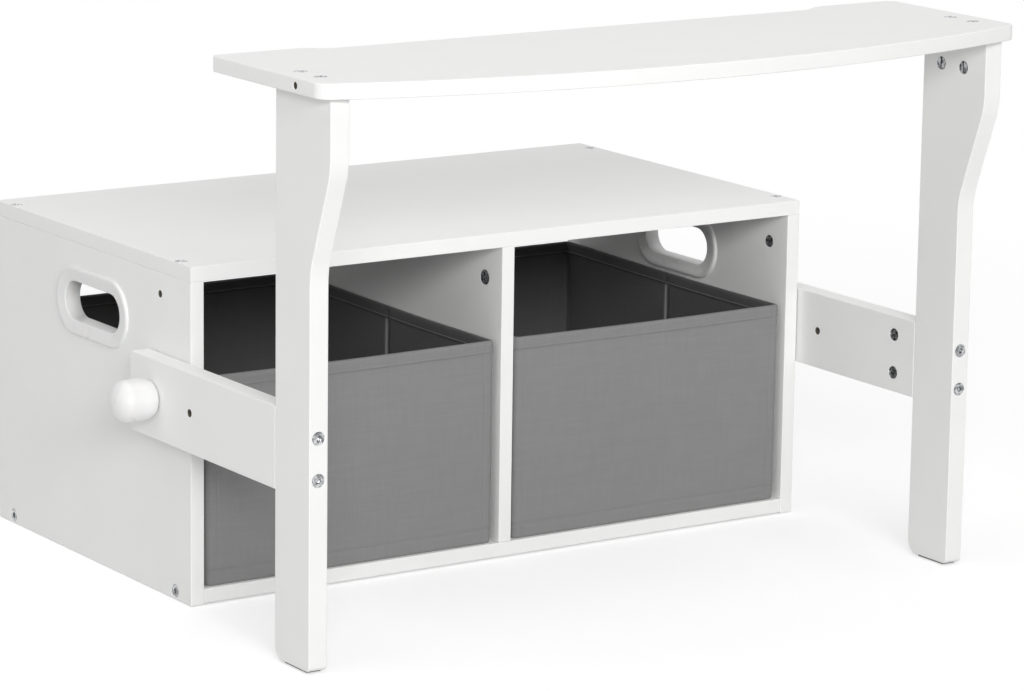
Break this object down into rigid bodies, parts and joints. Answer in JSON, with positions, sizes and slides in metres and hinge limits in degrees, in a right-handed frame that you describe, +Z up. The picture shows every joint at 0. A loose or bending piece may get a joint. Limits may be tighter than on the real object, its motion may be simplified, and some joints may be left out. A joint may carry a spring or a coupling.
{
  "type": "play table",
  "caption": "Low storage bench for a child, open in front and behind, with fabric bins and hand grips, and a table frame on clamping knobs that swings up to become a backrest.",
  "frame": {"origin": "on the ground below the middle of the whole object's outer box, with the table frame down", "axes": "+X to the right when seen from the open front, +Y from the open front to the back, +Z up"},
  "size_m": [0.694, 0.622, 0.45],
  "materials": {
    "white_board": "fibreboard with smooth white satin lacquer",
    "white_plastic": "moulded white plastic, lightly glossy",
    "plated_steel": "zinc plated steel",
    "dowel_wood": "bare beech",
    "grey_cloth": "grey non-woven fabric with a fine embossed texture",
    "grey_board": "raw grey cardboard",
    "grey_felt": "pressed grey felt"
  },
  "bodies": {
    "box": {"seat_board": "white_board", "left_side": "white_board", "right_side": "white_board", "divider": "white_board", "bottom_board": "white_board", "left_grip_outer": "white_plastic", "left_grip_inner": "white_plastic", "right_grip_outer": "white_plastic", "right_grip_inner": "white_plastic", "seat_bolts": "plated_steel", "seat_barrel_nuts": "plated_steel", "base_bolts": "plated_steel", "base_barrel_nuts": "plated_steel", "divider_cams": "plated_steel", "divider_cam_pins": "plated_steel", "box_dowels": "dowel_wood", "pivot_nuts": "plated_steel", "pivot_spacers": "white_plastic"},
    "table_frame": {"tabletop": "white_board", "left_leg": "white_board", "right_leg": "white_board", "left_arm": "white_board", "right_arm": "white_board", "tabletop_bolts": "plated_steel", "tabletop_barrel_nuts": "plated_steel", "arm_bolts": "plated_steel", "arm_barrel_nuts": "plated_steel", "frame_dowels": "dowel_wood", "leg_glides": "grey_felt"},
    "left_knob": {"left_knob": "white_plastic", "left_knob_stud": "plated_steel", "left_knob_washer": "plated_steel"},
    "right_knob": {"right_knob": "white_plastic", "right_knob_stud": "plated_steel", "right_knob_washer": "plated_steel"},
    "left_bin": {"left_bin_shell": "grey_cloth", "left_bin_binding": "grey_cloth", "left_bin_stiffeners": "grey_board", "left_bin_base_board": "grey_cloth"},
    "right_bin": {"right_bin_shell": "grey_cloth", "right_bin_binding": "grey_cloth", "right_bin_stiffeners": "grey_board", "right_bin_base_board": "grey_cloth"}
  },
  "joints": [
    {"name": "table_swing", "type": "hinge", "parent": "box", "child": "table_frame", "pos_m": [0, 0.013, 0.164], "axis": [-1, 0, 0], "range_deg": [0, 90]},
    {"name": "left_knob_turn", "type": "hinge", "parent": "box", "child": "left_knob", "pos_m": [-0.33, 0.013, 0.164], "axis": [-1, 0, 0], "range_deg": [0, 360]},
    {"name": "right_knob_turn", "type": "hinge", "parent": "box", "child": "right_knob", "pos_m": [0.33, 0.013, 0.164], "axis": [1, 0, 0], "range_deg": [0, 360]},
    {"name": "left_bin_slide", "type": "slide", "parent": "box", "child": "left_bin", "axis": [0, -1, 0], "range_m": [0, 0.3]},
    {"name": "right_bin_slide", "type": "slide", "parent": "box", "child": "right_bin", "axis": [0, -1, 0], "range_m": [0, 0.3]}
  ]
}
